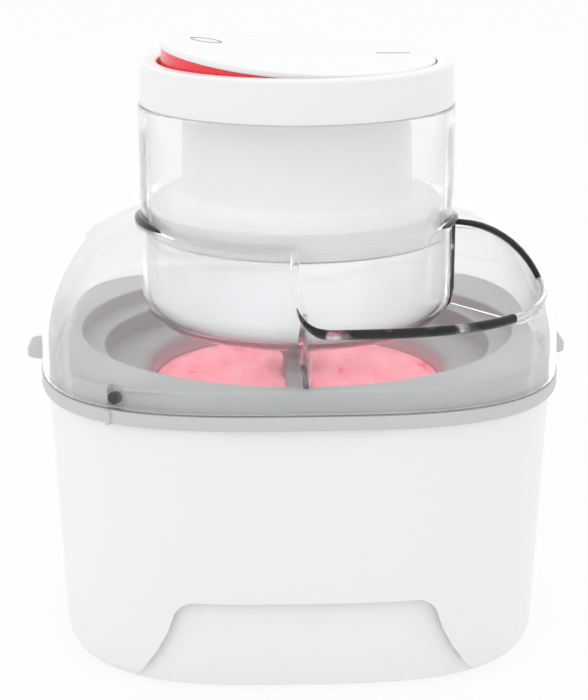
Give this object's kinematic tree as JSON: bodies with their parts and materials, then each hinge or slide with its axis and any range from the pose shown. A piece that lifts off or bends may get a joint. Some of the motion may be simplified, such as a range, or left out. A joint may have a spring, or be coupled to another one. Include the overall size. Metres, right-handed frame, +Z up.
{
  "type": "ice cream maker",
  "caption": "Countertop ice cream maker: freezer bowl in a squarish base, clear lid with an ingredient opening, and a lift-off top motor unit that turns a paddle.",
  "frame": {"origin": "on the table under the middle of the machine, on the motor's axis", "axes": "+Z up along the motor axis, the front faces -Y, +X to the right"},
  "size_m": [0.2478, 0.225, 0.2654],
  "materials": {
    "white_gloss": "glossy moulded white plastic",
    "white_inner": "plain moulded white plastic inside the unit",
    "bowl_grey": "satin light grey plastic",
    "paddle_grey": "satin mid grey plastic",
    "clear_plastic": "clear glossy moulded plastic",
    "liner_metal": "satin anodised aluminium",
    "coolant": "sealed blue coolant",
    "foot_rubber": "matt grey rubber",
    "steel": "bright steel",
    "brass": "sintered bronze and brass",
    "gear_nylon": "natural nylon",
    "motor_steel": "zinc plated motor can",
    "switch_red": "glossy red plastic",
    "switch_dark": "black switch plastic"
  },
  "bodies": {
    "base": {"base_shell": "white_gloss", "base_floor": "white_inner", "rubber_feet": "foot_rubber", "base_screws": "steel"},
    "bowl": {"bowl_rim": "bowl_grey", "bowl_liner": "liner_metal", "bowl_jacket": "white_inner", "coolant_gel": "coolant", "filler_plug": "bowl_grey"},
    "paddle": {"paddle": "paddle_grey"},
    "lid": {"clear_lid": "clear_plastic"},
    "motor_unit": {"motor_housing": "white_gloss", "motor_lower_cover": "white_gloss", "cap_ring": "white_gloss", "cord_gland": "white_inner", "gear_plate": "steel", "gearbox_screws": "steel", "housing_screws": "steel", "motor_screws": "steel", "motor_can": "motor_steel", "output_bush": "brass", "compound_axle": "steel", "rocker_pivot_pins": "steel", "switch_body": "switch_dark"},
    "rotor": {"rotor_shaft": "steel", "motor_pinion": "brass"},
    "idler": {"compound_gear": "gear_nylon"},
    "drive": {"output_gear": "gear_nylon", "output_shaft": "steel"},
    "rocker": {"rocker_cap": "white_gloss", "rocker_skirt": "switch_red"},
    "plunger": {"switch_plunger": "switch_red"}
  },
  "joints": [
    {"name": "bowl_lift", "type": "slide", "parent": "base", "child": "bowl", "axis": [0, 0, 1], "range_m": [0, 0.125]},
    {"name": "lid_lift", "type": "slide", "parent": "bowl", "child": "lid", "axis": [0, 0, 1], "range_m": [0, 0.06]},
    {"name": "motor_unit_lift", "type": "slide", "parent": "lid", "child": "motor_unit", "axis": [0, 0, 1], "range_m": [0, 0.11]},
    {"name": "paddle_spin", "type": "hinge", "parent": "bowl", "child": "paddle", "pos_m": [0, 0, 0.1], "axis": [0, 0, 1], "continuous": true},
    {"name": "drive_spin", "type": "hinge", "parent": "motor_unit", "child": "drive", "pos_m": [0, 0, 0.16], "axis": [0, 0, 1], "continuous": true},
    {"name": "compound_gear_spin", "type": "hinge", "parent": "motor_unit", "child": "idler", "pos_m": [-0.035, 0, 0.16], "axis": [0, 0, 1], "continuous": true},
    {"name": "rotor_spin", "type": "hinge", "parent": "motor_unit", "child": "rotor", "pos_m": [-0.01202, 0.01928, 0.17], "axis": [0, 0, 1], "continuous": true},
    {"name": "rocker_tilt", "type": "hinge", "parent": "motor_unit", "child": "rocker", "pos_m": [0, 0, 0.252], "axis": [0, -1, 0], "range_deg": [0, 8]},
    {"name": "plunger_travel", "type": "slide", "parent": "motor_unit", "child": "plunger", "axis": [0, 0, 1], "range_m": [0, 0.0042]}
  ],
  "couplings": [
    {"joint": "drive_spin", "follows": "paddle_spin", "ratio": 1},
    {"joint": "compound_gear_spin", "follows": "paddle_spin", "ratio": -4},
    {"joint": "rotor_spin", "follows": "paddle_spin", "ratio": 16},
    {"joint": "plunger_travel", "follows": "rocker_tilt", "m_per_rad": 0.03}
  ]
}
